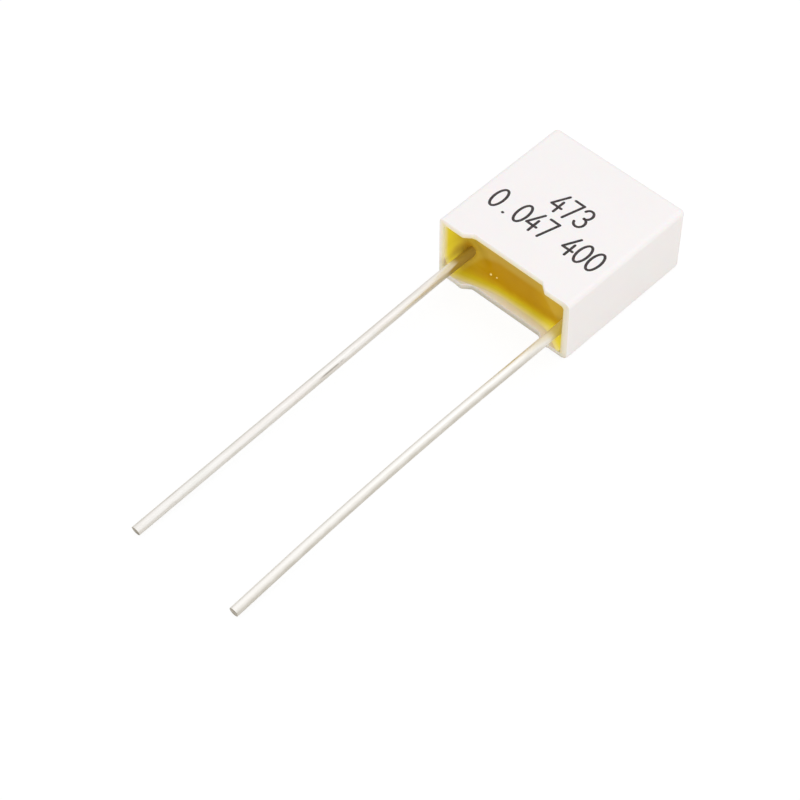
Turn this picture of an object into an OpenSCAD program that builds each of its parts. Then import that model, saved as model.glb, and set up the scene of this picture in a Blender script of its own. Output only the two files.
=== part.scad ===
// Box film capacitor with two wire leads, lying on one broad side.
// All lengths are in millimetres. X runs across the two leads, the mouth of the case
// and the leads face -Y, and Z is the thickness of the case.
// The origin is the middle of the lower broad face.

/* [Case] */
// Length of the case across the two leads
case_length = 13; // [10:0.1:18]
// Height of the case from its feet to its closed end
case_height = 13.5; // [10:0.1:20]
// Thickness of the case between its broad faces
case_depth = 6.3; // [5:0.1:9]
// Thickness of the four side walls
wall = 0.55; // [0.45:0.05:0.8]
// Thickness of the closed end
end_wall = 0.7; // [0.4:0.05:1.5]
// Radius of the long outer edges and of the edges round the closed end
edge_radius = 0.45; // [0.2:0.05:0.8]
// Radius of the corners inside the case
inner_radius = 0.3; // [0.1:0.05:0.6]

/* [Feet] */
// Length of each foot along the rim, from the end of the case
foot_length = 2.4; // [1:0.1:4]
// Run of the slanted step from a foot to the recess between the feet
step_run = 0.7; // [0.1:0.1:1.5]
// Radius of the two bends of that step
step_radius = 0.3; // [0.1:0.05:0.6]
// Depth of the recess in the rim between the feet
recess_depth = 0.55; // [0.2:0.05:0.8]

/* [Potting] */
// Depth of the flat of the potting below the feet
fill_depth = 1.8; // [1.5:0.1:3]
// Radius of the hollow with which the potting climbs the walls
meniscus_radius = 1; // [0.5:0.1:1.2]
// Thickness of the potting at the upper edge of that hollow
film = 0.06; // [0.03:0.01:0.15]
// Radius of the hollow with which the potting climbs the leads
collar_radius = 0.25; // [0.1:0.05:0.35]

/* [Winding] */
// Room between the winding and the inside of the case, which the potting fills
winding_gap = 0.35; // [0.1:0.05:0.8]
// Depth of the winding below the flat of the potting
winding_cover = 1.5; // [0.5:0.1:3]
// Thickness of the sprayed metal on each end of the winding
spray = 0.35; // [0.2:0.05:0.6]

/* [Leads] */
// Diameter of the wire
lead_diameter = 0.8; // [0.5:0.05:0.9]
// Room between each lead and the side wall beside it, for a pitch of 10
lead_gap = 0.55; // [0.35:0.05:1.5]
// Reach of the leads past the feet
lead_length = 33.1; // [20:0.1:40]
// Height of the lead axes above the lower broad face
lead_height = 1.9; // [1.3:0.05:3]
// Length of wire welded along the sprayed metal
weld_length = 5.5; // [2:0.5:6]
// Depth to which the wire is pressed into the sprayed metal
weld_sink = 0.15; // [0.05:0.05:0.18]
// Distance from the feet to the bend of the left lead
left_bend_start = 1; // [0.5:0.5:10]
// Length of the bend of the left lead
left_bend_length = 1.6; // [1:0.1:15]
// Distance from the feet to the bend of the right lead
right_bend_start = 7.5; // [0.5:0.5:18]
// Reach of the straight end of the right lead, past its bend
right_end_length = 6; // [2:0.5:15]
// Height of the lead ends above the plane of the lower broad face
tip_clearance = 0.02; // [0:0.01:0.2]
// Length of the sheared end of each wire
shear_length = 0.2; // [0.1:0.05:0.5]

/* [Hidden] */
$fn = 64;

LEFT = -1;
RIGHT = 1;

// Overlap of a cutting shape past the surface that it cuts
cut = 1;
// Overlap of the tail of a lead with its bend, and the shoulder between the two
lap = 0.2;
shoulder = 0.005;
// Straight pieces in each bend of the rim's step
bend_steps = 4;

// Case
feet_y = -case_height / 2;
inner_length = case_length - 2 * wall;
inner_depth = case_depth - 2 * wall;
inner_end_y = case_height / 2 - end_wall;
mid_z = case_depth / 2;

// Potting
flat_y = feet_y + fill_depth;
film_y = flat_y - meniscus_radius;

// Leads
lead_radius = lead_diameter / 2;
pitch = inner_length - 2 * lead_gap - lead_diameter;
lead_drop = lead_height - lead_radius - tip_clearance;
right_bend_length = lead_length - right_bend_start - right_end_length;

// Winding, from the depth of the sprayed metal that the leads are pressed into
contact_face_x = pitch / 2 - lead_radius + weld_sink;
winding_end_x = contact_face_x - spray;
winding_depth = inner_depth - 2 * winding_gap;
winding_front_y = flat_y + winding_cover;
winding_back_y = inner_end_y - winding_gap;
lead_root_y = winding_front_y + weld_length;

// Rectangle from the X axis up, with its two upper corners rounded.
module end_rounded(width, height, radius) {
    translate([-width / 2, 0])
        square([width, height - radius]);
    translate([radius - width / 2, 0])
        square([width - 2 * radius, height]);
    for (side = [LEFT, RIGHT])
        translate([side * (width / 2 - radius), height - radius])
            circle(radius);
}

// Block from y = 0 to y = height, centred on X and Z, with round long edges
// and a round edge all round its far end.
module rounded_block(length, height, depth, radius) {
    linear_extrude(depth - 2 * radius, center = true)
        end_rounded(length, height, radius);
    rotate([0, -90, 0])
        linear_extrude(length - 2 * radius, center = true)
            end_rounded(depth, height, radius);
    for (x_side = [LEFT, RIGHT], z_side = [LEFT, RIGHT])
        translate([x_side * (length / 2 - radius), 0, z_side * (depth / 2 - radius)])
            rotate([-90, 0, 0]) {
                cylinder(h = height - radius, r = radius);
                translate([0, 0, height - radius])
                    sphere(radius);
            }
}

// Block of the case's own inside, from the given place to the inside of the closed end.
module inside_block(from_y) {
    translate([0, from_y, mid_z])
        rounded_block(inner_length, inner_end_y - from_y, inner_depth, inner_radius);
}

// Half outline of the recess in the rim, from a foot down its rounded step to the floor.
function recess_side(half_mouth) =
    let (
        slant = atan2(recess_depth, step_run),
        tangent = step_radius * tan(slant / 2),
        turns = [for (i = [0 : bend_steps]) slant * i / bend_steps]
    )
    concat(
        [for (a = turns) [
            half_mouth + tangent - step_radius * sin(a),
            step_radius * (1 - cos(a))
        ]],
        [for (i = [bend_steps : -1 : 0]) [
            half_mouth - step_run - tangent + step_radius * sin(turns[i]),
            recess_depth - step_radius * (1 - cos(turns[i]))
        ]]
    );

// The recess in the rim between the feet, across both broad walls.
module rim_recess() {
    translate([0, feet_y, -cut])
        linear_extrude(case_depth + 2 * cut)
            for (side = [0, 1])
                mirror([side, 0])
                    polygon(concat(
                        [[0, -cut], [case_length / 2 - foot_length, -cut]],
                        recess_side(case_length / 2 - foot_length),
                        [[0, recess_depth]]
                    ));
}

// Moulded box, open at the mouth, with four feet that lift its rim off a board.
module case() {
    color([0.96, 0.95, 0.94])
        difference() {
            translate([0, feet_y, mid_z])
                rounded_block(case_length, case_height, case_depth, edge_radius);
            inside_block(feet_y - cut);
            rim_recess();
        }
}

// The hollow in front of the potting, whose round end is the meniscus.
module mouth_hollow() {
    hollow_height = fill_depth + cut;
    translate([0, flat_y - hollow_height, mid_z])
        rounded_block(
            inner_length - 2 * film,
            hollow_height,
            inner_depth - 2 * film,
            meniscus_radius
        );
}

// Resin that climbs a lead from the flat of the potting, as a ring with a hollow side.
module lead_collar(side) {
    ring = lead_radius + film + collar_radius;
    translate([side * pitch / 2, flat_y + film, lead_height])
        rotate([90, 0, 0])
            rotate_extrude()
                difference() {
                    square([ring, film + collar_radius]);
                    translate([ring, film + collar_radius])
                        circle(collar_radius);
                }
}

// Cast resin that fills the case round the winding and the leads.
module potting() {
    color([0.78, 0.60, 0.10])
        difference() {
            union() {
                difference() {
                    inside_block(film_y);
                    mouth_hollow();
                }
                lead_collar(LEFT);
                lead_collar(RIGHT);
            }
            winding_block(contact_face_x);
            lead_root(LEFT, 0);
            lead_root(RIGHT, 0);
        }
}

// Flat-sided roll with round edges, lying along X between the given distances.
module winding_block(half_length) {
    roll_radius = winding_depth / 2;
    front_y = winding_front_y + roll_radius;
    back_y = winding_back_y - roll_radius;
    translate([-half_length, 0, mid_z])
        rotate([0, 90, 0]) {
            for (y = [front_y, back_y])
                translate([0, y, 0])
                    cylinder(h = 2 * half_length, r = roll_radius);
            translate([-roll_radius, front_y, 0])
                cube([winding_depth, back_y - front_y, 2 * half_length]);
        }
}

// Film wound to a flat roll, its turns taken as one solid.
module winding() {
    color([0.72, 0.74, 0.76])
        winding_block(winding_end_x);
}

// Sprayed metal over one end of the winding, with the groove of the welded wire.
module end_contact(side) {
    slab_x = (winding_end_x + contact_face_x) / 2;
    color([0.55, 0.55, 0.54])
        difference() {
            intersection() {
                winding_block(contact_face_x);
                translate([side * slab_x, 0, mid_z])
                    cube([spray, case_height, case_depth], center = true);
            }
            lead_root(side, 0);
        }
}

// The straight stretch of a lead, from beside the winding to a distance past the feet.
module lead_root(side, past_feet) {
    translate([side * pitch / 2, lead_root_y, lead_height])
        rotate([90, 0, 0])
            cylinder(h = lead_root_y - feet_y + past_feet, r = lead_radius);
}

// One wire: straight out of the case, then bent down until its end meets
// the plane that the case lies on. The straight stretches are tangents of the bend.
module lead_wire(side, bend_start, bend_length) {
    tangent = bend_length / 2;
    reach = lead_length - bend_start - tangent;
    bend_angle = atan2(lead_drop, reach);
    bend_radius = tangent / tan(bend_angle / 2);
    tail_length = norm([reach, lead_drop]) - tangent;
    lead_root(side, bend_start);
    translate([side * pitch / 2, feet_y - bend_start, lead_height])
        rotate([0, -90, 180])
            translate([-bend_radius, 0, 0]) {
                rotate_extrude(angle = bend_angle)
                    translate([bend_radius, 0])
                        circle(lead_radius);
                rotate([0, 0, bend_angle])
                    translate([bend_radius, -lap, 0])
                        rotate([-90, 0, 0])
                            sheared_tail(lap + tail_length);
            }
}

// Straight end of a wire along +Z, cut off by two blades that leave a blunt chisel.
module sheared_tail(length) {
    tail_radius = lead_radius - shoulder;
    half_edge = tail_radius / 2;
    blade_angle = atan((tail_radius - half_edge) / shear_length);
    difference() {
        cylinder(h = length, r = tail_radius);
        for (side = [LEFT, RIGHT])
            translate([side * half_edge, 0, length])
                rotate([0, -side * blade_angle, 0])
                    translate([side > 0 ? 0 : -cut, -cut, -cut])
                        cube([cut, 2 * cut, 2 * cut]);
    }
}

module end_contact_left() {
    end_contact(LEFT);
}

module end_contact_right() {
    end_contact(RIGHT);
}

module lead_left() {
    color([0.82, 0.81, 0.79])
        lead_wire(LEFT, left_bend_start, left_bend_length);
}

module lead_right() {
    color([0.82, 0.81, 0.79])
        lead_wire(RIGHT, right_bend_start, right_bend_length);
}

case();
potting();
winding();
end_contact_left();
end_contact_right();
lead_left();
lead_right();
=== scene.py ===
import bmesh
import bpy
import math
from mathutils import Matrix, Vector, noise
from types import SimpleNamespace


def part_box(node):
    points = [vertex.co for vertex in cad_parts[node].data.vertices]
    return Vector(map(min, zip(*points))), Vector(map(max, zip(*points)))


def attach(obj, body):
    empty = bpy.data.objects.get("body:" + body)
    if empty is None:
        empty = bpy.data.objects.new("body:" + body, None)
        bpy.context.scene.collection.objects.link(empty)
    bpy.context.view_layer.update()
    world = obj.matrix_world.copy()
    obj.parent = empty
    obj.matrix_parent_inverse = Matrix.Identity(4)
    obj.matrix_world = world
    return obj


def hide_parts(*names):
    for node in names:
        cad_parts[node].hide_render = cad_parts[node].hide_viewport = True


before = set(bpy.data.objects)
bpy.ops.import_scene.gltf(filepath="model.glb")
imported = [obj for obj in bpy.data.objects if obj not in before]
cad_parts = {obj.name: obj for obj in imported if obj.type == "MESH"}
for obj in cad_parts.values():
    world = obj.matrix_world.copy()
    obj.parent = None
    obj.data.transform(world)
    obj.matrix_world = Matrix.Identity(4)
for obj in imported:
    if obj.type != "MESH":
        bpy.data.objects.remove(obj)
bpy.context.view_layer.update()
mm = 0.001  # the settings below are in millimetres unless they say otherwise
sameSpot = 1e-6  # two places closer than this are one
weldGap = 1e-8  # the same where a mesh is cut or merged, in metres
straightShare = 0.999  # of its length that an edge runs along an axis

# places that come from the solids
caseLow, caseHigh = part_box("case")
resinLow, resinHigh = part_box("potting")
coreLow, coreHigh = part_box("winding")
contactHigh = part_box("end_contact_right")[1]
feetY = caseLow.y
midZ = (caseLow.z + caseHigh.z) / 2
wallThickness = resinLow.z - caseLow.z
print("frame loaded:", len(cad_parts), "nodes")


def findLead(node):  # place of a lead's axis in the case along X and Z, and the wire's radius
    low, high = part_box(node)
    radius = (high.x - low.x) / 2
    return (low.x + high.x) / 2, high.z - radius, radius


leads = {side: findLead("lead_" + side) for side in ("left", "right")}


def inMetres(settings):  # the lengths and the pairs of lengths among the settings of a piece
    sizes = {}
    for name, value in settings.items():
        if isinstance(value, float):
            sizes[name] = value * mm
        elif isinstance(value, tuple):
            sizes[name] = [part * mm for part in value]
    return sizes


def spanFrom(place, span):  # a span in millimetres, set off from a place
    return [place + end * mm for end in span]


def smoothStep(share):
    share = min(1.0, max(0.0, share))
    return share * share * (3 - 2 * share)


def fade(share):
    return 1 - smoothStep(share)


def rampUp(value, span):  # from 0 at one end of the span to 1 at the other
    return smoothStep((value - span[0]) / (span[1] - span[0]))


def isVert(item):
    return isinstance(item, bmesh.types.BMVert)


def isEdge(item):
    return isinstance(item, bmesh.types.BMEdge)


def edgeRunsAlong(edge, axis):
    run = edge.verts[1].co - edge.verts[0].co
    return abs(run[axis]) > straightShare * run.length


def finishPiece(bm, name, materials, replaced=None):
    mesh = bpy.data.meshes.new(name)
    bm.to_mesh(mesh)
    bm.free()
    mesh.shade_smooth()
    for material in materials:
        mesh.materials.append(material)
    piece = bpy.data.objects.new(name, mesh)
    bpy.context.scene.collection.objects.link(piece)
    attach(piece, "root")
    if replaced:
        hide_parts(replaced)
    print("made", name, "with", len(mesh.polygons), "faces")
    return piece


# camera, set to the photograph's own view
cameraStyle = {
    "place": (80.037, -103.063, 143.997),
    "turn": (39.0436, -0.2388, 43.5036),  # degrees
    "lens": 112.5,
    "sensor": 36.0,
    "clipStart": 10.0,
}


def addCamera():
    style = cameraStyle
    data = bpy.data.cameras.new("camera")
    data.lens = style["lens"]
    data.sensor_width = style["sensor"]
    data.clip_start = style["clipStart"] * mm
    camera = bpy.data.objects.new("camera", data)
    camera.location = Vector(style["place"]) * mm
    camera.rotation_euler = [math.radians(angle) for angle in style["turn"]]
    bpy.context.scene.collection.objects.link(camera)
    bpy.context.scene.camera = camera
    print("camera placed")


addCamera()


# shader helpers
def addNode(tree, kind, inputs=None, **settings):
    made = tree.nodes.new(kind)
    for name, value in settings.items():
        setattr(made, name, value)
    for name, value in (inputs or {}).items():
        if isinstance(value, bpy.types.NodeSocket):
            tree.links.new(value, made.inputs[name])
        else:
            made.inputs[name].default_value = value
    return made


def addMath(tree, operation, first, second):
    return addNode(tree, "ShaderNodeMath", {0: first, 1: second}, operation=operation).outputs[0]


def multiply(tree, first, *others):
    product = first
    for other in others:
        product = addMath(tree, "MULTIPLY", product, other)
    return product


def addRange(tree, value, low, high):  # an even change from low to high as the value goes from 0 to 1
    spread = addNode(tree, "ShaderNodeMapRange", {"Value": value, "To Min": low, "To Max": high})
    return spread.outputs["Result"]


def addSlope(tree, value, span, ends=(0.0, 1.0)):  # a smooth change from end to end over a span
    slope = addNode(tree, "ShaderNodeMapRange", {
        "Value": value, "From Min": span[0], "From Max": span[1], "To Min": ends[0], "To Max": ends[1]},
        interpolation_type="SMOOTHSTEP")
    return slope.outputs["Result"]


def splitCoords(tree, coords):
    return addNode(tree, "ShaderNodeSeparateXYZ", {"Vector": coords}).outputs


def readShare(tree, name):
    return addNode(tree, "ShaderNodeAttribute", attribute_name=name).outputs["Fac"]


def addRamp(tree, factor, stops):
    ramp = addNode(tree, "ShaderNodeValToRGB", {"Fac": factor})
    elements = ramp.color_ramp.elements
    while len(elements) < len(stops):
        elements.new(1.0)
    for element, (place, colour) in zip(elements, stops):
        element.position = place
        element.color = (*colour, 1.0)
    return ramp.outputs["Color"]


def addMix(tree, factor, first, second):
    mix = addNode(tree, "ShaderNodeMix", data_type="RGBA")
    for name, value in (("Factor", factor), ("A", first), ("B", second)):
        socket = [s for s in mix.inputs if s.name == name and s.enabled][0]
        if isinstance(value, bpy.types.NodeSocket):
            tree.links.new(value, socket)
        else:
            socket.default_value = value if name == "Factor" else (*value, 1.0)
    return [s for s in mix.outputs if s.enabled][0]


def addBump(tree, shader, height, depth, strength):
    bump = addNode(tree, "ShaderNodeBump", {
        "Height": height, "Distance": depth * mm, "Strength": strength})
    tree.links.new(bump.outputs["Normal"], shader.inputs["Normal"])


def feedShader(tree, shader, sources):
    for name, source in sources.items():
        tree.links.new(source, shader.inputs[name])


def startMaterial(name, shaderValues):
    material = bpy.data.materials.new(name)
    material.use_nodes = True
    tree = material.node_tree
    shader = tree.nodes["Principled BSDF"]
    for socket, value in shaderValues.items():
        shader.inputs[socket].default_value = value
    coords = addNode(tree, "ShaderNodeTexCoord").outputs["Object"]
    return material, tree, shader, coords


def buildMottleGroup():  # soft patches, from 0 to 1, stretched along the piece if wanted
    group = bpy.data.node_groups.new("mottle", "ShaderNodeTree")
    for name, kind in (("Vector", "NodeSocketVector"), ("Stretch", "NodeSocketVector"),
                       ("Scale", "NodeSocketFloat"), ("Low", "NodeSocketFloat"),
                       ("High", "NodeSocketFloat")):
        group.interface.new_socket(name, in_out="INPUT", socket_type=kind)
    group.interface.new_socket("Mask", in_out="OUTPUT", socket_type="NodeSocketFloat")
    source = addNode(group, "NodeGroupInput").outputs
    shaped = addNode(group, "ShaderNodeVectorMath", {0: source["Vector"], 1: source["Stretch"]},
                     operation="MULTIPLY")
    cloud = addNode(group, "ShaderNodeTexNoise", {
        "Vector": shaped.outputs[0], "Scale": source["Scale"], "Detail": 5.0, "Roughness": 0.6})
    spread = addSlope(group, cloud.outputs["Fac"], (source["Low"], source["High"]))
    addNode(group, "NodeGroupOutput", {"Mask": spread})
    return group


mottleGroup = buildMottleGroup()


# the settings below give a mottle by its scale for each metre, its low and high ends and its stretch
def addMottle(tree, coords, scale, low, high, stretch=(1.0, 1.0, 1.0)):
    patch = addNode(tree, "ShaderNodeGroup", {
        "Vector": coords, "Stretch": stretch, "Scale": scale, "Low": low, "High": high},
        node_tree=mottleGroup)
    return patch.outputs["Mask"]


# white moulded plastic of the case; on the rim painted yellow light and shade, and on the bare inner
# walls painted shade and yellow light from the resin together with a thin stain of resin
plasticLook = {
    "base": (0.90, 0.868, 0.86),
    "cloud": (0.892, 0.86, 0.851),
    "clouds": (260.0, 0.3, 0.7),
    "roughness": (0.42, 0.52),
    "grain": (5200.0, 0.25, 0.75),
    "grainBump": (0.002, 0.5),  # depth and strength
    "rim": [  # painted yellow light from the resin, from the inner to the outer edge of the rim
        (0.0, (0.84, 0.75, 0.42)),
        (0.35, (0.87, 0.80, 0.62)),
        (1.0, (0.885, 0.845, 0.78)),
    ],
    "lowRim": (0.0, 0.2),  # heights over the inner side of the lower wall in which its rim's colour ends
    "wall": [  # darker and yellower towards the edge of the resin: painted shade and yellow bounce light from the resin, with a thin stain of resin
        (0.0, (0.93, 0.90, 0.84)),
        (1.0, (0.90, 0.83, 0.60)),
    ],
    "wallStainAndLight": (-0.4, 0.1),  # from the edge of the resin
    "wallTintWave": 0.15,
    "shade": (0.45, 0.41, 0.315),  # along the lowest edge of the rim
    "shadeHeight": (0.0, 1.1),
    "shadeAcross": (3.2, 4.4),  # from the middle, where it weakens
    "shadeShares": (0.7, 0.35),
    # painted shade on the rim of the right wall
    "rightRimShade": (0.70, 0.64, 0.48),
    "rightShadeReach": 1.0,  # from the right wall inwards
    "rightPaintedLightShare": 0.45,
    "scatter": {"Subsurface Weight": 0.12, "Subsurface Scale": 0.0003},  # metres
    "roofScatter": {  # daylight comes through the upper wall
        "Subsurface Weight": 1.0,
        "Subsurface Radius": (1.0, 0.9, 0.7),
        "Subsurface Scale": 0.0006,
    },
}


def buildPlastic(name, tint=None, scatter="scatter"):
    look = plasticLook
    material, tree, shader, coords = startMaterial(name, {"Specular IOR Level": 0.42, **look[scatter]})
    patches = addMottle(tree, coords, *look["clouds"])
    if tint:
        colour = tint(tree, coords, patches)
    else:
        colour = addMix(tree, patches, look["base"], look["cloud"])
    feedShader(tree, shader, {
        "Base Color": colour, "Roughness": addRange(tree, patches, *look["roughness"])})
    addBump(tree, shader, addMottle(tree, coords, *look["grain"]), *look["grainBump"])
    return material


def tintRimWithLightAndShade(tree, coords, patches):
    look = plasticLook
    place = splitCoords(tree, coords)
    across = addMath(tree, "ABSOLUTE", place["X"], 0.0)
    byEnd = addSlope(tree, across, (resinHigh.x, caseHigh.x))
    byTop = addSlope(tree, place["Z"], (resinHigh.z, caseHigh.z))
    byLow = addSlope(tree, place["Z"], spanFrom(resinLow.z, look["lowRim"]), (1.0, 0.0))
    outward = addMath(tree, "MAXIMUM", addMath(tree, "MAXIMUM", byEnd, byTop), byLow)
    # painted yellow light from the resin, strongest at the inner edge of the rim
    colour = addRamp(tree, outward, look["rim"])
    # painted shade on the rim of the right wall
    rightSpan = (resinHigh.x - look["rightShadeReach"] * mm, caseHigh.x)
    right = addSlope(tree, place["X"], rightSpan, (0.0, look["rightPaintedLightShare"]))
    colour = addMix(tree, right, colour, look["rightRimShade"])
    low = addSlope(tree, place["Z"], spanFrom(caseLow.z, look["shadeHeight"]), (1.0, 0.0))
    weaker = addSlope(tree, across, spanFrom(0.0, look["shadeAcross"]), look["shadeShares"])
    return addMix(tree, multiply(tree, low, weaker), colour, look["shade"])


def tintWallWithStainAndLight(tree, coords, patches):
    look = plasticLook
    place = splitCoords(tree, coords)
    across = addMath(tree, "ABSOLUTE", place["X"], 0.0)
    edge = addSlope(tree, across, (resinHigh.x - resinSize["rightClimb"], resinHigh.x),
                    (resinSize["lipDepth"], resinSize["endLipDepth"]))
    behind = addMath(tree, "SUBTRACT", addMath(tree, "SUBTRACT", place["Y"], feetY), edge)
    behind = addMath(tree, "ADD", behind, multiply(tree, patches, look["wallTintWave"] * mm))
    # painted shade and yellow bounce light from the resin, with a thin stain of resin, on the bare wall
    # in front of the film's edge
    stain = addSlope(tree, behind, spanFrom(0.0, look["wallStainAndLight"]))
    return addRamp(tree, stain, look["wall"])


# heights and reaches of the cast resin, which also stains the walls in front of its edge and throws
# painted shade and yellow light on them
resinStyle = {
    "flatDepth": 1.8,  # flat of the resin below the feet
    "lipDepth": 1.1,  # edge of the film on the broad walls below the feet
    "endLipDepth": 0.04,  # the same on the narrow walls
    "reach": 0.6,  # width of the hollow along the broad walls
    "endReach": 0.42,
    "leftClimb": 5.2,  # stretch in which the film climbs from one height to the other
    "rightClimb": 2.6,
    "leftSag": 0.5,  # depth by which the film hangs back in the lower left corner
    "sagHeight": 2.0,
    "collarHeight": 0.25,  # round the right lead
    "collarReach": 0.3,
    "dipDepth": 0.5,  # round the left lead, where the resin shrank
    "dipReach": 2.2,
    "dipStart": (-0.6, 0.4),  # heights, from the lead's axis, in which the dip sets in
    "corner": 0.3,
    "cell": 0.06,
    "clearance": 0.003,  # to the case
    "wave": 0.012,
    "deepest": 0.6,  # film thickness that looks as dark as the deep resin
    "clearing": (-1.5, 2.0),  # stretch along X in which that thickness grows
    "glowReach": 0.45,  # light through the narrow walls, along the wall
    "glowCorner": 1.6,
    "leftGlow": 3.2,  # height of the left wall that lets light through
    "rightGlow": 4.2,  # length of the lower wall that does, from its right end
    "leftSpread": 3.6,  # fainter light that reaches into the flat
    "rightSpread": 1.5,
    "rightLightReach": 5.0,  # painted light on the right part of the flat, from the right wall
    "rightLightStart": 2.5,
    "bandEdge": 3.25,  # lower edge of the light from the upper wall
    "bandBlur": (-0.35, 0.35),
    "bandBend": -1.5,  # to the left of this place the edge sinks in a curve
    "bandDrop": 1.7,  # by which it sinks at the right end
    "rightEnd": (2.2, 4.2),
    "paleReach": 0.5,  # painted light: a pale stretch behind the edge of the film
    "root": (0.375, 1.125),  # painted shade round the left lead, partly deeper resin: where it weakens, and its end
    "rootDepth": (0.45, 1.35),  # below the feet, where it sets in
    "rootAside": 0.3,  # its middle, to the left of the lead's axis
    "bubbles": [(-2.64, 1.41, 0.11), (-1.99, 1.5, 0.08)],  # place along X and Z, and radius
    "plain": {  # no lengths
        "wider": 0.5,  # by which the hollow widens where the film climbs
        "cornerPower": 3,  # blends the two hollows in the corners
        "waveScale": 700.0,  # for each metre
        "rightDeeper": 0.4,  # by which the deepest film grows over the clearing
        "leftShallower": 0.45,
        "spread": 0.25,
        "endFading": 0.3,  # of the narrow walls' light towards the flat
        "weakGlow": 0.65,  # everywhere but low on the left
        "band": 0.3,
        "bandMore": 0.15,  # at the right end
        "bandCurve": 0.22,  # fall of the edge for each millimetre squared
        "rootBelow": 0.4,  # share of the dark below the lead
    },
}
resinSize = inMetres(resinStyle)
halfX = resinHigh.x - resinSize["clearance"]
halfZ = (resinHigh.z - resinLow.z) / 2 - resinSize["clearance"]

plastic = buildPlastic("case_plastic_white")
rimPlastic = buildPlastic("case_plastic_rim", tintRimWithLightAndShade)
wallPlastic = buildPlastic("case_plastic_inside", tintWallWithStainAndLight)
roofPlastic = buildPlastic("case_plastic_roof", tintWallWithStainAndLight, "roofScatter")


# moulded case
caseStyle = {
    "edge": 0.45,  # long edges and closed end
    "innerCorner": 0.3,
    "foot": 2.4,
    "stepRun": 0.7,  # from a foot to the recessed rim
    "recess": 0.55,
    "stepTangent": 0.104,  # of the roundings at both ends of a step
    "rimEdge": 0.09,
    "leftTip": 0.2,  # rounding of the lower corners of the feet
    "rightTip": 0.42,
    "tipRun": 0.7,  # length in which a foot's edge turns into its rounded corner
    "plain": {  # no lengths: the Y of normals that look out of the mouth, and angles in radians
        "slightLean": -0.1,
        "clearLean": -0.5,
        "rimLean": -0.6,
        "stepAngle": 0.2,
        "flatAngle": 0.01,
    },
}
caseSize = inMetres(caseStyle)


def buildCase():
    size, plain = caseSize, caseStyle["plain"]
    bm = bmesh.new()
    halfMouth = caseHigh.x - size["foot"]
    halfFloor = halfMouth - size["stepRun"]
    floorY = feetY + size["recess"]
    outline = [
        (caseHigh.x, caseHigh.y), (-caseHigh.x, caseHigh.y), (-caseHigh.x, feetY), (-halfMouth, feetY),
        (-halfFloor, floorY), (halfFloor, floorY), (halfMouth, feetY), (caseHigh.x, feetY),
    ]
    broad = bm.faces.new([bm.verts.new((x, y, caseLow.z)) for x, y in outline])
    grown = bmesh.ops.extrude_face_region(bm, geom=[broad])
    lifted = [item for item in grown["geom"] if isVert(item)]
    bmesh.ops.translate(bm, verts=lifted, vec=(0, 0, caseHigh.z - caseLow.z))
    bmesh.ops.recalc_face_normals(bm, faces=bm.faces)

    openMouth(bm)

    # round the moulded edges, then the bends of the steps, then take the sharpness off the rim
    for isChosen, name, segments in ((isInnerCorner, "innerCorner", 4), (isOuterEdge, "edge", 8),
                                     (isStepEdge, "stepTangent", 4), (isRimEdge, "rimEdge", 3)):
        edges = [edge for edge in bm.edges if isChosen(edge)]
        bmesh.ops.bevel(bm, geom=edges, offset=size[name], affect="EDGES", segments=segments,
                        profile=0.5, material=-1)
    roundTips(bm, halfMouth)
    bmesh.ops.recalc_face_normals(bm, faces=bm.faces)
    materials = [plastic, rimPlastic, wallPlastic, roofPlastic]
    for face in bm.faces:
        if face.normal.y < plain["rimLean"]:
            face.material_index = materials.index(rimPlastic)
        elif isInside(face):
            isRoof = face.calc_center_median().z > midZ
            face.material_index = materials.index(roofPlastic if isRoof else wallPlastic)
    case = finishPiece(bm, "case_shell", materials, "case")
    weighted = case.modifiers.new("weightedNormals", "WEIGHTED_NORMAL")
    weighted.keep_sharp = True


# a ring of rim is left round the mouth, and the hollow goes down to the closed end
def openMouth(bm):
    plain = caseStyle["plain"]
    mouth = [face for face in bm.faces if face.normal.y < plain["slightLean"]]
    bmesh.ops.inset_region(bm, faces=mouth, thickness=wallThickness, use_even_offset=True)
    hollow = bmesh.ops.extrude_face_region(bm, geom=mouth)
    for item in hollow["geom"]:
        if isVert(item):
            item.co.y = resinHigh.y
    bmesh.ops.delete(bm, geom=[face for face in mouth if face.is_valid], context="FACES")
    bmesh.ops.dissolve_limit(bm, angle_limit=plain["flatAngle"], verts=bm.verts, edges=bm.edges)


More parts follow.
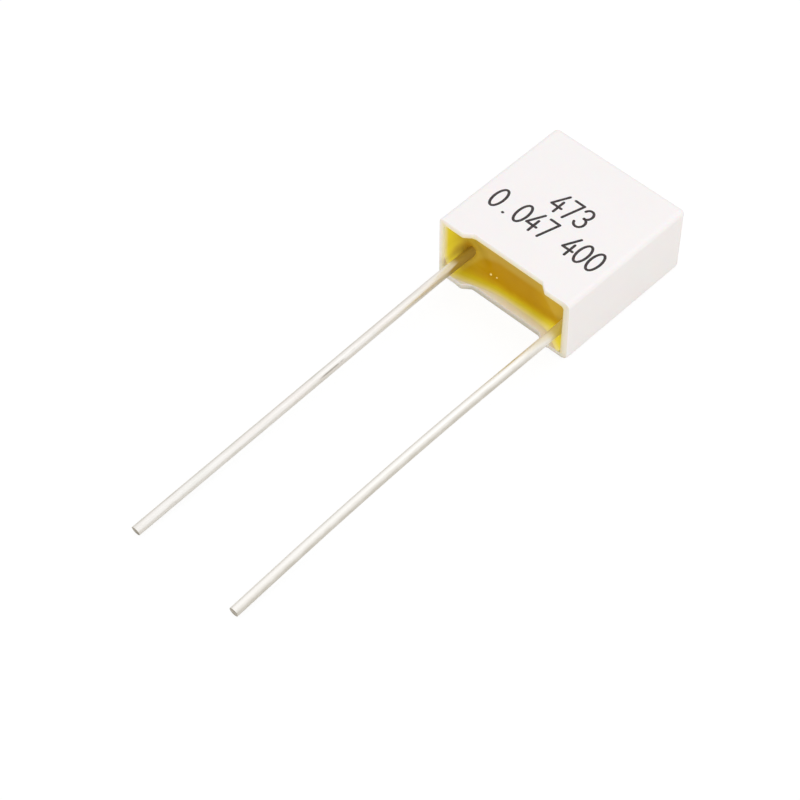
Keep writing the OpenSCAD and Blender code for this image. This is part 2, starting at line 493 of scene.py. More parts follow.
# widen the bevel of the rim into a larger rounding towards the lower corners of the feet
def roundTips(bm, halfMouth):
    size = caseSize
    for side in (-1, 1):
        everything = list(bm.verts) + list(bm.edges) + list(bm.faces)
        cut = (side * (halfMouth + size["tipRun"]), 0, 0)
        bmesh.ops.bisect_plane(bm, geom=everything, dist=weldGap, plane_co=cut, plane_no=(1, 0, 0))
    innerX = caseHigh.x - size["edge"]
    innerZ = (caseHigh.z - caseLow.z) / 2 - size["edge"]
    for vert in bm.verts:
        beyond = Vector((abs(vert.co.x) - innerX, 0, abs(vert.co.z - midZ) - innerZ))
        if beyond.x > 0 and beyond.z > 0:
            inset, way = size["edge"] - beyond.length, beyond.normalized()
        elif beyond.x > beyond.z:
            inset, way = size["edge"] - beyond.x, Vector((1, 0, 0))
        else:
            inset, way = size["edge"] - beyond.z, Vector((0, 0, 1))
        depth = vert.co.y - feetY
        if max(inset, depth) > size["rimEdge"] + sameSpot or abs(vert.co.x) < halfMouth:
            continue
        tip = size["rightTip"] if vert.co.x > 0 else size["leftTip"]
        share = smoothStep((abs(vert.co.x) - halfMouth) / size["tipRun"])
        share *= fade((vert.co.z - caseLow.z) / (caseHigh.z - caseLow.z))
        growth = share * (tip / size["rimEdge"] - 1)
        vert.co.y += depth * growth
        vert.co.x -= math.copysign(way.x, vert.co.x) * inset * growth
        vert.co.z -= math.copysign(way.z, vert.co.z - midZ) * inset * growth


def atWall(value, low, high):
    return min(abs(value - low), abs(value - high)) < sameSpot


def isInnerCorner(edge):
    middle = (edge.verts[0].co + edge.verts[1].co) / 2
    onFloor = all(abs(vert.co.y - resinHigh.y) < sameSpot for vert in edge.verts)
    onCorner = edgeRunsAlong(edge, 1) and atWall(middle.x, resinLow.x, resinHigh.x)
    return onFloor or (onCorner and atWall(middle.z, resinLow.z, resinHigh.z))


def isOuterEdge(edge):
    middle = (edge.verts[0].co + edge.verts[1].co) / 2
    onSide = atWall(middle.x, caseLow.x, caseHigh.x)
    onBroad = atWall(middle.z, caseLow.z, caseHigh.z)
    onEnd = abs(middle.y - caseHigh.y) < sameSpot
    return (onSide and onBroad) or (onSide and onEnd) or (onBroad and onEnd)


def isStepEdge(edge):
    plain = caseStyle["plain"]
    if not edgeRunsAlong(edge, 2) or len(edge.link_faces) != 2:
        return False
    onRim = all(face.normal.y < plain["slightLean"] for face in edge.link_faces)
    return onRim and edge.calc_face_angle() > plain["stepAngle"]


def isRimEdge(edge):
    plain = caseStyle["plain"]
    if len(edge.link_faces) != 2:
        return False
    leans = sorted(face.normal.y for face in edge.link_faces)
    return leans[0] < plain["clearLean"] and leans[1] > plain["slightLean"]


def isInside(face):
    middle = face.calc_center_median()
    between = resinLow.z - sameSpot < middle.z < resinHigh.z + sameSpot
    return between and abs(middle.x) < resinHigh.x + sameSpot and middle.y < resinHigh.y + sameSpot


buildCase()


# cast resin: deep ochre in the middle, clear yellow where it thins out on the walls
# painted light and shade laid over the resin's own colour; the dark round the left lead is partly deeper
# resin
resinLightTints = ("band", "warm", "endWall", "pale", "root")  # each lies over the ones before it
resinLook = {
    "stops": [  # film thickness as a share of the deepest, and its colour
        (0.0, (0.85, 0.78, 0.50)),
        (0.03, (0.85, 0.75, 0.26)),
        (0.08, (0.78, 0.66, 0.13)),
        (0.16, (0.70, 0.57, 0.04)),
        (0.28, (0.68, 0.52, 0.012)),
        (0.5, (0.60, 0.38, 0.006)),
        (1.0, (0.53, 0.283, 0.005)),
    ],
    "cloud": (0.50, 0.26, 0.005),
    "clouds": (420.0, 0.35, 0.8),
    "band": (0.70, 0.60, 0.17),  # light from the upper wall
    "endWall": (0.98, 0.86, 0.05),  # light comes through the narrow walls
    # painted light: the thin film lit through the walls
    "pale": (1.0, 0.93, 0.60),
    # painted shade round the left lead, partly deeper resin
    "root": (0.56, 0.33, 0.018),
    # painted light on the right part of the flat
    "warm": (0.70, 0.43, 0.016),
    "noGlow": (0.0, 0.0, 0.0),
    "glow": (0.23, 0.215, 0.03),  # painted glow: the resin shines where light comes through the thinnest walls
    "roughFilm": (0.3, 0.9),  # the thin film is rough and the deep resin smooth
    "roughness": (0.5, 0.1),
    "ripple": (900.0, 0.2, 0.8),
    "rippleBump": (0.003, 0.5),
    # painted glints: pale domes on the resin stand for its small highlights
    "bubbleGlint": (1.0, 0.84, 0.34),
    "bubbleGlintCloud": (0.95, 0.74, 0.2),
    "bubbleGlintClouds": (9000.0, 0.4, 0.7),
}


def buildResinMaterial():
    look = resinLook
    material, tree, shader, coords = startMaterial("resin_ochre", {
        "Specular IOR Level": 0.05, "Emission Strength": 1.0})
    thickness = readShare(tree, "filmDepth")
    colour = addRamp(tree, thickness, look["stops"])
    clouds = addMottle(tree, coords, *look["clouds"])
    colour = addMix(tree, multiply(tree, clouds, thickness), colour, look["cloud"])
    for name in resinLightTints:
        colour = addMix(tree, readShare(tree, name), colour, look[name])
    # the emission is a painted glow for light through the thinnest walls
    feedShader(tree, shader, {
        "Base Color": colour,
        "Emission Color": addMix(tree, readShare(tree, "glow"), look["noGlow"], look["glow"]),
        "Roughness": addSlope(tree, thickness, look["roughFilm"], look["roughness"])})
    addBump(tree, shader, addMottle(tree, coords, *look["ripple"]), *look["rippleBump"])
    return material


def buildBubbleGlintMaterial():
    look = resinLook
    material, tree, shader, coords = startMaterial("resin_bubble_glint", {"Roughness": 0.2, "Coat Weight": 0.2})
    clouds = addMottle(tree, coords, *look["bubbleGlintClouds"])
    feedShader(tree, shader, {"Base Color": addMix(tree, clouds, look["bubbleGlint"], look["bubbleGlintCloud"])})
    return material


def hollowRise(share):  # height of a quarter-round hollow, 1 at the wall and 0 at its foot
    if share >= 1:
        return 0.0
    return 1 - math.sqrt(max(0.0, 1 - (1 - share) ** 2))


def crowd(vert):  # closer rows of the grid towards the walls
    vert.co.x = halfX * math.sin(math.pi / 2 * vert.co.x / halfX)
    vert.co.z = midZ + halfZ * math.sin(math.pi / 2 * (vert.co.z - midZ) / halfZ)


def roundCorner(vert):
    corner = resinSize["corner"]
    over = Vector((abs(vert.co.x) - halfX + corner, abs(vert.co.z - midZ) - halfZ + corner))
    if min(over) > 0 and over.length > 0:
        over *= max(over) / over.length
        vert.co.x = math.copysign(halfX - corner + over.x, vert.co.x)
        vert.co.z = midZ + math.copysign(halfZ - corner + over.y, vert.co.z - midZ)


def findSpot(co):  # how far a point is from the walls, and where the film ends on them there
    size, spot = resinSize, SimpleNamespace()
    spot.side = "left" if co.x < 0 else "right"
    spot.toEnd = halfX - abs(co.x)
    spot.toBroad = halfZ - abs(co.z - midZ)
    spot.climb = fade(spot.toEnd / size[spot.side + "Climb"])
    spot.lip = size["lipDepth"] + spot.climb * (size["endLipDepth"] - size["lipDepth"])
    spot.endLip = size["endLipDepth"]
    if spot.side == "left":
        spot.endLip += size["leftSag"] * fade((co.z - resinLow.z) / size["sagHeight"])
    spot.aboveLead = rampUp(co.z - leads["left"][1], size["dipStart"])
    return spot


# height over the flat: the resin climbs the walls and the right lead, and sinks at the left one
def surfaceRise(co, spot):
    size, plain = resinSize, resinStyle["plain"]
    broadReach = size["reach"] * (1 + plain["wider"] * spot.climb)
    broadRise = (size["flatDepth"] - spot.lip) * hollowRise(spot.toBroad / broadReach)
    endRise = (size["flatDepth"] - spot.endLip) * hollowRise(spot.toEnd / size["endReach"])
    power = plain["cornerPower"]
    rise = (broadRise ** power + endRise ** power) ** (1 / power)
    toLeft, toRight = [math.hypot(co.x - x, co.z - z) - radius for x, z, radius in leads.values()]
    rise = max(rise, size["collarHeight"] * hollowRise(max(0.0, toRight) / size["collarReach"]))
    rise = min(rise, size["flatDepth"] - size["endLipDepth"])
    dip = size["dipDepth"] * spot.aboveLead * fade(toLeft / size["dipReach"])
    dip *= 1 - rise / size["flatDepth"]
    wave = noise.noise(co * plain["waveScale"]) * size["wave"]
    wave *= smoothStep(min(spot.toEnd, spot.toBroad) / size["reach"])
    return rise - dip - wave


# painted light: shares of the colours and of the glow that light through the walls gives
def lightShares(co, spot):
    size, plain = resinSize, resinStyle["plain"]
    depth = co.y - feetY
    byWall = fade(spot.toEnd / size["glowReach"])
    inCorner = fade(math.hypot(spot.toEnd / size["glowCorner"], spot.toBroad / size["glowReach"]))
    if co.z > midZ:
        through = fade(spot.toBroad / size["reach"])
    elif spot.side == "left":
        through = byWall * fade((co.z - resinLow.z) / size["leftGlow"])
    else:
        through = fade(spot.toBroad / size["reach"]) * fade(spot.toEnd / size["rightGlow"])
    isStrong = spot.side == "left" and co.z < midZ
    spread = plain["spread"] * fade(spot.toEnd / size[spot.side + "Spread"])
    fading = 1 - plain["endFading"] * smoothStep(depth / size["flatDepth"])
    behind = depth - (spot.endLip if spot.toEnd < spot.toBroad else spot.lip)
    return {
        "endWall": max(byWall * fading, inCorner, spread, through),
        "pale": max(byWall, inCorner, through) * fade(behind / size["paleReach"]),
        "glow": through * (1.0 if isStrong else plain["weakGlow"]),
    }


# shares of the resin's own colour by the film's thickness, and of painted light from the upper wall and
# on the right part of the flat, and of painted shade round the left lead that is partly deeper resin
def depthShares(co, spot):
    size, plain = resinSize, resinStyle["plain"]
    deepest = size["deepest"] * (1 + plain["rightDeeper"] * rampUp(co.x, size["clearing"]))
    warm = 0.0
    if spot.side == "left":
        deepest *= 1 - plain["leftShallower"] * spot.climb
    else:
        # painted light on the right part of the flat
        warm = fade(spot.toEnd / size["rightLightReach"]) * smoothStep(spot.toEnd / size["rightLightStart"])
        warm *= smoothStep(spot.toBroad / size["deepest"])
    # painted light from the upper wall, in a band under it
    atRightEnd = rampUp(co.x, size["rightEnd"])
    pastBend = max(0.0, size["bandBend"] - co.x)
    bandEdge = size["bandEdge"] - plain["bandCurve"] * pastBend ** 2 / mm - size["bandDrop"] * atRightEnd
    band = (plain["band"] + plain["bandMore"] * atRightEnd) * rampUp(co.z - bandEdge, size["bandBlur"])
    # painted shade round the left lead, partly deeper resin
    leadX, leadZ = leads["left"][:2]
    toRoot = math.hypot(co.x - leadX + size["rootAside"], co.z - leadZ)
    root = rampUp(co.y - feetY, size["rootDepth"]) * (1 - rampUp(toRoot, size["root"]))
    root *= plain["rootBelow"] + (1 - plain["rootBelow"]) * spot.aboveLead
    return {"filmDepth": min(1.0, spot.toBroad / deepest), "band": band, "warm": warm, "root": root}


def buildResin():
    flatY = feetY + resinSize["flatDepth"]
    bm = bmesh.new()
    layers = {name: bm.verts.layers.float.new(name) for name in ("filmDepth", *resinLightTints, "glow")}
    turn = Matrix.Translation((0, flatY, midZ)) @ Matrix.Rotation(math.radians(90), 4, "X")
    bmesh.ops.create_grid(bm, x_segments=round(2 * halfX / resinSize["cell"]),
                          y_segments=round(2 * halfZ / resinSize["cell"]), size=1.0,
                          matrix=turn @ Matrix.Diagonal((halfX, halfZ, 1, 1)))
    for vert in bm.verts:
        crowd(vert)
        roundCorner(vert)
        spot = findSpot(vert.co)
        vert.co.y = flatY - surfaceRise(vert.co, spot)
        for name, share in {**depthShares(vert.co, spot), **lightShares(vert.co, spot)}.items():
            vert[layers[name]] = share
    closeBlock(bm, layers["filmDepth"])
    addCoreRoom(bm)
    surface = [vert.co.copy() for vert in bm.verts if vert.co.y < flatY + resinSize["wave"]]
    finishPiece(bm, "resin_fill", [buildResinMaterial()], "potting")
    buildBubbles(surface)


def closeBlock(bm, filmDepth):  # the sides and the base under the surface
    border = [edge for edge in bm.edges if edge.is_boundary]
    sides = bmesh.ops.extrude_edge_only(bm, edges=border)
    for item in sides["geom"]:
        if isVert(item):
            item.co.y = resinHigh.y - resinSize["clearance"]
            item[filmDepth] = 1.0
    for edge in border:
        edge.smooth = False
    base = [item for item in sides["geom"] if isEdge(item) and item.is_boundary]
    bmesh.ops.contextual_create(bm, geom=base)
    bmesh.ops.recalc_face_normals(bm, faces=bm.faces)


# small domes on the resin's surface, coloured as painted glints
def buildBubbles(surface):
    bm = bmesh.new()
    for x, z, radius in resinStyle["bubbles"]:
        place = min(surface, key=lambda point: math.hypot(point.x - x * mm, point.z - z * mm))
        bmesh.ops.create_icosphere(bm, subdivisions=2, radius=radius * mm,
                                   matrix=Matrix.Translation(place))
    finishPiece(bm, "resin_bubble_glints", [buildBubbleGlintMaterial()])


def addCoreRoom(bm):  # the room of the winding in the block
    size = Vector((2 * contactHigh.x, coreHigh.y - coreLow.y, coreHigh.z - coreLow.z))
    place = Matrix.Translation((0, (coreLow.y + coreHigh.y) / 2, midZ))
    room = bmesh.ops.create_cube(bm, size=1.0, matrix=place @ Matrix.Diagonal((*size, 1)))
    long = [edge for edge in {e for v in room["verts"] for e in v.link_edges} if edgeRunsAlong(edge, 0)]
    nearlyHalf = 0.4999  # of the height, so that the two roundings don't meet
    rounded = bmesh.ops.bevel(bm, geom=long, offset=nearlyHalf * size.z, affect="EDGES", segments=12,
                              profile=0.5, material=-1)
    shell = {face for vert in rounded["verts"] for face in vert.link_faces}
    bmesh.ops.reverse_faces(bm, faces=list(shell))


buildResin()


# tinned wire
tinLook = {
    "bright": (0.89, 0.87, 0.835),
    "warm": (0.86, 0.81, 0.765),
    "warmPatches": (900.0, 0.45, 0.7, (1.0, 0.12, 1.0)),
    "green": (0.80, 0.80, 0.74),
    "greenPatches": (1300.0, 0.5, 0.75, (1.0, 0.2, 1.0)),
    "dull": (0.70, 0.67, 0.60),
    "dullSpots": (1800.0, 0.58, 0.78, (1.0, 0.2, 1.0)),
    "right": (0.96, 0.94, 0.895),  # painted highlight: the right wire is made paler to stand for the brighter light on it
    "rightPaintedLightShare": 0.7,
    "sides": (-1.0, 1.0),  # between the two wires
    "roughness": (0.3, 0.42),
    "drawLines": (6500.0, 0.2, 0.8, (1.0, 0.03, 1.0)),
    "drawBump": (0.0015, 0.25),
    # a thin scuff on the left wire: its stretch along Y, and its two edges across the wire
    "scuffed": (0.45, 0.42, 0.37),
    "scuff": (-21.8, -18.6),
    "scuffEnd": 1.0,
    "scuffEdges": ((0.24, 0.28), (0.32, 0.36)),
    "scuffMarks": (4200.0, 0.3, 0.5, (1.0, 0.2, 1.0)),
    # painted shade on the +X flank of the right wire, its lower side, broken into dull blotches
    "shadedFlank": (0.08, 0.36),
    "shadedFlankShares": (0.5, 0.85),
    "blotches": (1500.0, 0.35, 0.65, (1.0, 0.5, 1.0)),
    # stretch before the feet where the wires lost their shine
    "frosted": (-5.0, 0.0),
    "leftFrost": 0.8,
    # paler frosted tin, partly a painted highlight near the feet
    "white": (0.98, 0.965, 0.94),
    "whiteShare": 0.5,
    "metal": (1.0, 0.4),
    "frostRough": 0.15,
    "flank": (0.2, 0.36),  # of the left wire, on the side of +X
    # painted shade on the underside of the left wire near the feet
    "under": (0.42, 0.38, 0.22),
    "underShadeShare": 0.6,
    # resin that crept along the wires, from the feet; its dark tint is partly painted shade and painted
    # reflection of the resin in the mouth
    "wickedLeft": (0.49, 0.365, 0.085),
    "leftWick": (-0.3, 0.6),
    "creep": 1.0,  # by which it lies further out on the flank
    "wickedRight": (0.78, 0.67, 0.20),
    "rightWick": (-0.7, 0.3),
    "rightWickShare": 0.9,
    # cut ends
    "sheared": (0.36, 0.32, 0.26),
    "smear": (9000.0, 0.3, 0.7, (0.1, 1.0, 1.0)),
    "smearBump": (0.004, 0.7),
    "cutRoughness": (0.3, 0.5),
}


def scuffShare(tree, coords, place):
    look = tinLook
    start, end = spanFrom(0.0, look["scuff"])
    run = look["scuffEnd"] * mm
    nearEdge, farEdge = [spanFrom(leads["left"][0], edge) for edge in look["scuffEdges"]]
    return multiply(
        tree,
        addSlope(tree, place["Y"], (start, start + run)),
        addSlope(tree, place["Y"], (end - run, end), (1.0, 0.0)),
        addSlope(tree, place["X"], nearEdge),
        addSlope(tree, place["X"], farEdge, (1.0, 0.0)),
        addMottle(tree, coords, *look["scuffMarks"]))


# painted shade in dull blotches on the +X flank of the right wire
def shadedFlankShare(tree, coords, place):
    look = tinLook
    blotches = addMottle(tree, coords, *look["blotches"])
    flank = addSlope(tree, place["X"], spanFrom(leads["right"][0], look["shadedFlank"]))
    return multiply(tree, flank, addRange(tree, blotches, *look["shadedFlankShares"]))


def wickShare(tree, place, onLeft, onRight, flank):
    look = tinLook
    depth = addMath(tree, "ADD", place["Y"], multiply(tree, flank, look["creep"] * mm))
    left = addSlope(tree, depth, spanFrom(feetY, look["leftWick"]))
    right = addSlope(tree, place["Y"], spanFrom(feetY, look["rightWick"]), (0.0, look["rightWickShare"]))
    return addMath(tree, "ADD", multiply(tree, left, onLeft), multiply(tree, right, onRight))


def buildTin():
    look = tinLook
    material, tree, shader, coords = startMaterial("tinned_wire_bright", {"Specular IOR Level": 0.1})
    place = splitCoords(tree, coords)
    onRight = addSlope(tree, place["X"], spanFrom(0.0, look["sides"]))
    onLeft = addMath(tree, "SUBTRACT", 1.0, onRight)
    flank = addSlope(tree, place["X"], spanFrom(leads["left"][0], look["flank"]))
    flank = multiply(tree, flank, onLeft)
    warm = addMottle(tree, coords, *look["warmPatches"])
    colour = addMix(tree, warm, look["bright"], look["warm"])
    colour = addMix(tree, addMottle(tree, coords, *look["greenPatches"]), colour, look["green"])
    colour = addMix(tree, addMottle(tree, coords, *look["dullSpots"]), colour, look["dull"])
    # painted highlight: the right wire paler
    colour = addMix(tree, addRange(tree, onRight, 0.0, look["rightPaintedLightShare"]), colour, look["right"])
    colour = addMix(tree, scuffShare(tree, coords, place), colour, look["scuffed"])
    # painted shade in dull blotches on the +X flank of the right wire
    colour = addMix(tree, shadedFlankShare(tree, coords, place), colour, look["dull"])

    # towards the feet: frosted tin, with a painted highlight and painted shade
    frost = addSlope(tree, place["Y"], spanFrom(feetY, look["frosted"]))
    frost = multiply(tree, frost, addRange(tree, onRight, look["leftFrost"], 1.0))
    # paler frosted tin, partly a painted highlight
    colour = addMix(tree, addRange(tree, frost, 0.0, look["whiteShare"]), colour, look["white"])
    # painted shade on the underside of the left wire
    colour = addMix(tree, multiply(tree, flank, look["underShadeShare"], frost), colour, look["under"])
    # crept resin, partly painted shade and painted reflection of the resin in the mouth
    resinTint = addMix(tree, onRight, look["wickedLeft"], look["wickedRight"])
    colour = addMix(tree, wickShare(tree, place, onLeft, onRight, flank), colour, resinTint)
    rough = addMath(tree, "ADD", addRange(tree, warm, *look["roughness"]),
                    addRange(tree, frost, 0.0, look["frostRough"]))
    feedShader(tree, shader, {
        "Base Color": colour, "Metallic": addRange(tree, frost, *look["metal"]), "Roughness": rough})
    addBump(tree, shader, addMottle(tree, coords, *look["drawLines"]), *look["drawBump"])
    return material


def buildSheared():
    look = tinLook
    material, tree, shader, coords = startMaterial("sheared_metal", {"Metallic": 1.0})
    smear = addMottle(tree, coords, *look["smear"])
    feedShader(tree, shader, {
        "Base Color": addMix(tree, smear, look["sheared"], look["dull"]),
        "Roughness": addRange(tree, smear, *look["cutRoughness"])})
    addBump(tree, shader, smear, *look["smearBump"])
    return material


tinMaterial = buildTin()
shearedMaterial = buildSheared()

leadStyle = {
    "segments": 32,
    "step": 0.2,  # length of one ring of the tube
    "bendSteps": 6,  # or more
    "length": 33.1,  # from the feet
    "tipClearance": 0.02,  # to the floor
    "ripple": 0.006,  # unevenness of the tin
    "rippleScale": [1500.0, 400.0, 1500.0],  # for each metre
    "plain": {  # no lengths
        "cutLean": 0.3,  # share by which a face of the cut looks along the wire
        "sharpAngle": 0.4,  # radians
    },
    # the start of a bend is measured from the feet, and its cut slants back below by some degrees
    "left": {"node": "lead_left", "bendStart": 1.0, "bendLength": 1.6, "cutSlant": 6.0},
    "right": {"node": "lead_right", "bendStart": 7.5, "bendLength": 19.6, "cutSlant": 1.0},
}
leadSize = inMetres(leadStyle)


def buildLead(side):
    bend, plain = leadStyle[side], leadStyle["plain"]
    axisX, axisZ, radius = leads[side]
    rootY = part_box(bend["node"])[1].y
    step = leadSize["step"]
    start = bend["bendStart"] * mm
    tangent = bend["bendLength"] * mm / 2
    tipZ = radius + leadSize["tipClearance"]
    drop = axisZ - tipZ
    reach = leadSize["length"] - start - tangent
    angle = math.atan2(drop, reach)
    bendRadius = tangent / math.tan(angle / 2)
    tailLength = math.hypot(reach, drop) - tangent
    ahead = Vector((0, -math.cos(angle), -math.sin(angle)))
    above = Vector((0, -math.sin(angle), math.cos(angle)))

    bm = bmesh.new()
    turn = Matrix.Translation((axisX, rootY, axisZ)) @ Matrix.Rotation(math.radians(90), 4, "X")
    ring = bmesh.ops.create_circle(bm, segments=leadStyle["segments"], radius=radius, matrix=turn)
    profile = list({edge for vert in ring["verts"] for edge in vert.link_edges}) + ring["verts"]
    root = [item for item in profile if isEdge(item)]
    profile = runStraight(bm, profile, Vector((0, -1, 0)), rootY - feetY + start, step)
    centre = (axisX, feetY - start, axisZ - bendRadius)
    turned = bmesh.ops.spin(bm, geom=profile, cent=centre, axis=(1, 0, 0), angle=angle,
                            steps=max(leadStyle["bendSteps"], round(2 * tangent / step)))
    profile = runStraight(bm, turned["geom_last"], ahead, tailLength, step)
    tip = [item for item in profile if isEdge(item)]
    for vert in bm.verts:
        roughenTin(vert, axisX, radius)
    bmesh.ops.contextual_create(bm, geom=root)
    bmesh.ops.contextual_create(bm, geom=tip)

    tipTop = Vector((axisX, feetY - leadSize["length"], tipZ)) + above * radius
    slant = math.radians(bend["cutSlant"])
    cutTip(bm, tipTop, ahead * math.cos(slant) - above * math.sin(slant))
    for face in bm.faces:
        face.material_index = 1 if face.normal.dot(ahead) > plain["cutLean"] else 0
    for edge in bm.edges:
        if edge.calc_face_angle(0.0) > plain["sharpAngle"]:
            edge.smooth = False
    finishPiece(bm, "wire_" + side, [tinMaterial, shearedMaterial], bend["node"])


def runStraight(bm, profile, way, length, step):
    count = max(1, round(length / step))
    swept = bmesh.ops.spin(bm, geom=profile, cent=(0, 0, 0), axis=(1, 0, 0), dvec=way * length / count,
                           angle=0.0, steps=count)
    return swept["geom_last"]


def cutTip(bm, tipTop, way):  # through the upper edge of the end
    everything = bm.verts[:] + bm.edges[:] + bm.faces[:]
    cut = bmesh.ops.bisect_plane(bm, geom=everything, plane_co=tipTop, plane_no=way, clear_outer=True)
    bmesh.ops.contextual_create(bm, geom=[item for item in cut["geom_cut"] if isEdge(item)])
    bmesh.ops.recalc_face_normals(bm, faces=bm.faces)


def roughenTin(vert, axisX, radius):
    sway = noise.noise(vert.co * Vector(leadStyle["rippleScale"]))
    vert.co.x += (vert.co.x - axisX) / radius * min(0.0, sway) * leadSize["ripple"]


for side in ("left", "right"):
    buildLead(side)


# inner pieces keep their solids
innerLook = {
    "film": (0.50, 0.52, 0.55),
    "filmShade": (0.38, 0.39, 0.42),
    "turns": (4000.0, 0.3, 0.7, (0.02, 1.0, 1.0)),
    "turnBump": (0.005, 0.5),
    "spray": (0.44, 0.44, 0.42),
    "sprayShade": (0.28, 0.27, 0.26),
    "sprayRoughness": (0.55, 0.8),
    "grit": (7000.0, 0.35, 0.65),
    "gritBump": (0.02, 0.8),
}


def buildFilmMaterial():
    look = innerLook
    material, tree, shader, coords = startMaterial("wound_film", {"Roughness": 0.2, "Coat Weight": 0.3})
    turns = addMottle(tree, coords, *look["turns"])
    feedShader(tree, shader, {"Base Color": addMix(tree, turns, look["film"], look["filmShade"])})
    addBump(tree, shader, turns, *look["turnBump"])
    return material


def buildSprayMaterial():
    look = innerLook
    material, tree, shader, coords = startMaterial("sprayed_metal_rough", {"Metallic": 0.9})
    grit = addMottle(tree, coords, *look["grit"])
    feedShader(tree, shader, {
        "Base Color": addMix(tree, grit, look["spray"], look["sprayShade"]),
        "Roughness": addRange(tree, grit, *look["sprayRoughness"])})
    addBump(tree, shader, grit, *look["gritBump"])
    return material


def dressNode(name, material):
    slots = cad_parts[name].data.materials
    slots.clear()
    slots.append(material)


dressNode("winding", buildFilmMaterial())
sprayMaterial = buildSprayMaterial()
for name in ("end_contact_left", "end_contact_right"):
    dressNode(name, sprayMaterial)
print("inner pieces dressed")


# plain numerals printed on the upper broad face
printStyle = {
    "lines": [  # words, middle along X and height of the baseline along Y
        ("473", 0.3, -0.35),
        ("0.047 400", 0.2, -3.1),
    ],
    "height": 2.0,
    "advance": 1.2,
    "stroke": 0.23,
    "thickness": 0.008,
    "roundSteps": 3,  # of a quarter of the stroke's section
    "endTurns": (88, 70, 50, 30, 12),  # degrees, from the end of a stroke inwards
    "ink": (0.035, 0.026, 0.026),
    "wornInk": (0.11, 0.09, 0.09),
    "worn": (3800.0, 0.4, 0.85),
    "roughness": (0.45, 0.7),
}


def arcPoints(middle, radii, fromAngle, toAngle, count=14):
    points = []
    for index in range(count + 1):
        angle = math.radians(fromAngle + (toAngle - fromAngle) * index / count)
        points.append((middle[0] + radii[0] * math.cos(angle), middle[1] + radii[1] * math.sin(angle)))
    return points


# strokes of each numeral, in a cell as high as the print
numeralStrokes = {
    "0": [arcPoints((0, 0.5), (0.22, 0.5), 90, 450, 32)],
    "3": [arcPoints((0, 0.75), (0.2, 0.25), 160, -90), arcPoints((0, 0.26), (0.22, 0.26), 90, -160)],
    "4": [[(0.1, 1.0), (-0.24, 0.3)], [(-0.24, 0.3), (0.24, 0.3)], [(0.1, 0.62), (0.1, 0.0)]],
    "7": [[(-0.22, 1.0), (0.22, 1.0)], [(0.22, 1.0), (-0.06, 0.0)]],
    ".": [[(-0.01, 0.02), (0.01, 0.02)]],
}


def buildInk():
    style = printStyle
    material, tree, shader, coords = startMaterial("print_ink", {"Specular IOR Level": 0.3})
    worn = addMottle(tree, coords, *style["worn"])
    feedShader(tree, shader, {
        "Base Color": addMix(tree, worn, style["ink"], style["wornInk"]),
        "Roughness": addRange(tree, worn, *style["roughness"])})
    return material


def addStroke(curve, points):
    radius = printStyle["stroke"] / 2
    first, last = Vector(points[0]), Vector(points[-1])
    closed = (first - last).length < sameSpot
    if closed:
        path = [(Vector(point), 1.0) for point in points[:-1]]
    else:  # round ends
        back = (first - Vector(points[1])).normalized()
        on = (last - Vector(points[-2])).normalized()
        turns = [math.radians(angle) for angle in printStyle["endTurns"]]
        path = [(first + back * radius * math.sin(turn), math.cos(turn)) for turn in turns]
        path += [(Vector(point), 1.0) for point in points]
        path += [(last + on * radius * math.sin(turn), math.cos(turn)) for turn in reversed(turns)]
    spline = curve.splines.new("POLY")
    spline.points.add(len(path) - 1)
    spline.use_cyclic_u = closed
    for point, (place, share) in zip(spline.points, path):
        point.co = (*place, 0.0, 1.0)
        point.radius = share


def buildPrint():
    style = printStyle
    curve = bpy.data.curves.new("print", "CURVE")
    curve.dimensions = "3D"
    curve.bevel_depth = style["stroke"] / 2
    curve.bevel_resolution = style["roundSteps"]
    curve.use_fill_caps = True
    for words, middle, baseline in style["lines"]:
        left = middle - style["advance"] * (len(words) - 1) / 2
        for index, numeral in enumerate(words):
            for stroke in numeralStrokes.get(numeral, []):
                shift = Vector((left + index * style["advance"], baseline))
                addStroke(curve, [Vector(point) * style["height"] + shift for point in stroke])
    holder = bpy.data.objects.new("print_curve", curve)
    bpy.context.scene.collection.objects.link(holder)
    drawn = bpy.data.meshes.new_from_object(holder.evaluated_get(bpy.context.evaluated_depsgraph_get()))
    bpy.data.objects.remove(holder)
    flat = 2 * style["thickness"] / style["stroke"]
    drawn.transform(Matrix.Translation((0, 0, caseHigh.z)) @ Matrix.Diagonal((mm, mm, mm * flat, 1)))
    bm = bmesh.new()
    bm.from_mesh(drawn)
    bpy.data.meshes.remove(drawn)
    bmesh.ops.remove_doubles(bm, verts=bm.verts, dist=weldGap)
    bmesh.ops.recalc_face_normals(bm, faces=bm.faces)
    finishPiece(bm, "printed_numerals", [buildInk()])


buildPrint()


# floor and light
stageLook = {
    "floorSize": 8.0,  # metres
    "bounce": (0.76, 0.745, 0.71),  # the floor as the part sees it
    "white": (0.95, 0.95, 0.95),  # the floor as the camera sees it, with a glow that lightens its shadows
    "glow": 1.03,
    "shadowShare": 0.15,
    "sky": [  # by the height of the view, from the horizon up
        (0.0, (0.66, 0.645, 0.62)),
        (0.3, (0.93, 0.925, 0.92)),
        (0.6, (1.04, 1.04, 1.05)),
    ],
    "skyLean": 0.15,  # darker on the side of -X
    "softboxes": [  # name, place, aim and width in metres, and power in watts
        ("front", (0.206, -0.274, 0.072), (0, 0, 0.003), 0.12, 0.17),
        ("back", (0.015, 0.137, 0.253), (0, -0.022, 0.001), 0.15, 0.014),
    ],
}


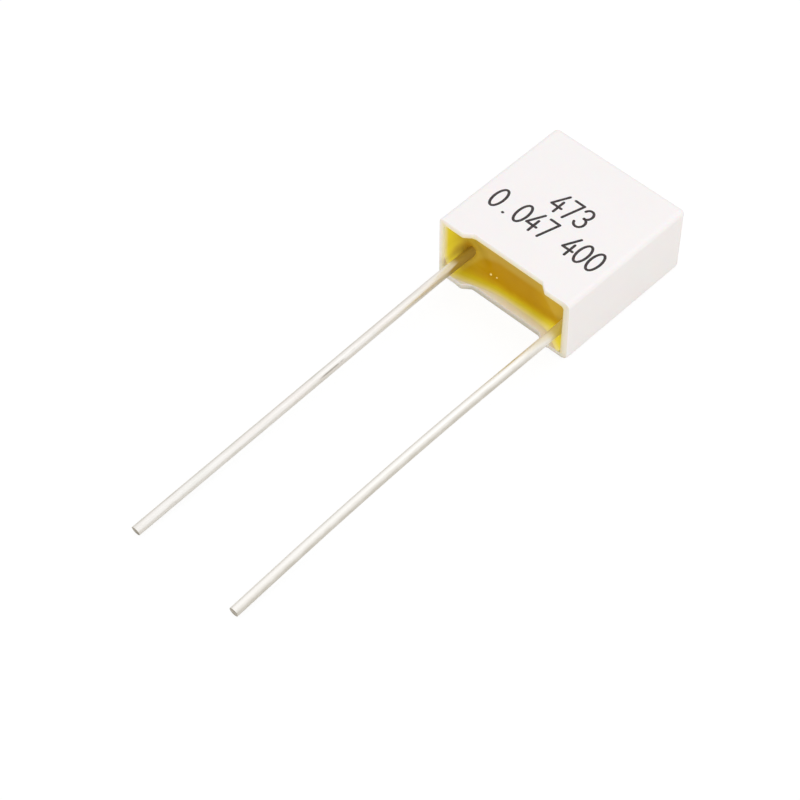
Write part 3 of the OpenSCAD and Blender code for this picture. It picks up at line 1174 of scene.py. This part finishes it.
def buildFloorMaterial():
    look = stageLook
    material = bpy.data.materials.new("floor_white")
    material.use_nodes = True
    tree = material.node_tree
    tree.nodes.remove(tree.nodes["Principled BSDF"])
    bounce = addNode(tree, "ShaderNodeBsdfDiffuse", {"Color": (*look["bounce"], 1.0)}).outputs[0]
    white = addNode(tree, "ShaderNodeBsdfDiffuse", {"Color": (*look["white"], 1.0)}).outputs[0]
    glow = addNode(tree, "ShaderNodeEmission", {
        "Color": (1.0, 1.0, 1.0, 1.0), "Strength": look["glow"]}).outputs[0]
    seen = addNode(tree, "ShaderNodeMixShader", {0: look["shadowShare"], 1: glow, 2: white}).outputs[0]
    fromCamera = addNode(tree, "ShaderNodeLightPath").outputs["Is Camera Ray"]
    either = addNode(tree, "ShaderNodeMixShader", {0: fromCamera, 1: bounce, 2: seen}).outputs[0]
    tree.links.new(either, tree.nodes["Material Output"].inputs["Surface"])
    return material


def buildFloor():
    bm = bmesh.new()
    bmesh.ops.create_grid(bm, x_segments=2, y_segments=2, size=stageLook["floorSize"] / 2)
    mesh = bpy.data.meshes.new("floor")
    bm.to_mesh(mesh)
    bm.free()
    mesh.materials.append(buildFloorMaterial())
    floor = bpy.data.objects.new("floor", mesh)
    bpy.context.scene.collection.objects.link(floor)


def buildSky():
    world = bpy.data.worlds.new("studio")
    world.use_nodes = True
    tree = world.node_tree
    way = splitCoords(tree, addNode(tree, "ShaderNodeTexCoord").outputs["Generated"])
    lean = multiply(tree, way["X"], stageLook["skyLean"])
    colour = addRamp(tree, addMath(tree, "ADD", way["Z"], lean), stageLook["sky"])
    tree.links.new(colour, tree.nodes["Background"].inputs["Color"])
    bpy.context.scene.world = world


def addSoftbox(name, place, aim, size, power):
    data = bpy.data.lights.new(name, "AREA")
    data.shape = "DISK"
    data.size = size
    data.energy = power
    light = bpy.data.objects.new(name, data)
    light.location = place
    light.rotation_euler = (Vector(aim) - Vector(place)).to_track_quat("-Z", "Y").to_euler()
    bpy.context.scene.collection.objects.link(light)


buildFloor()
buildSky()
for softbox in stageLook["softboxes"]:
    addSoftbox(*softbox)
bpy.context.scene.view_settings.view_transform = "Standard"
print("stage lit")
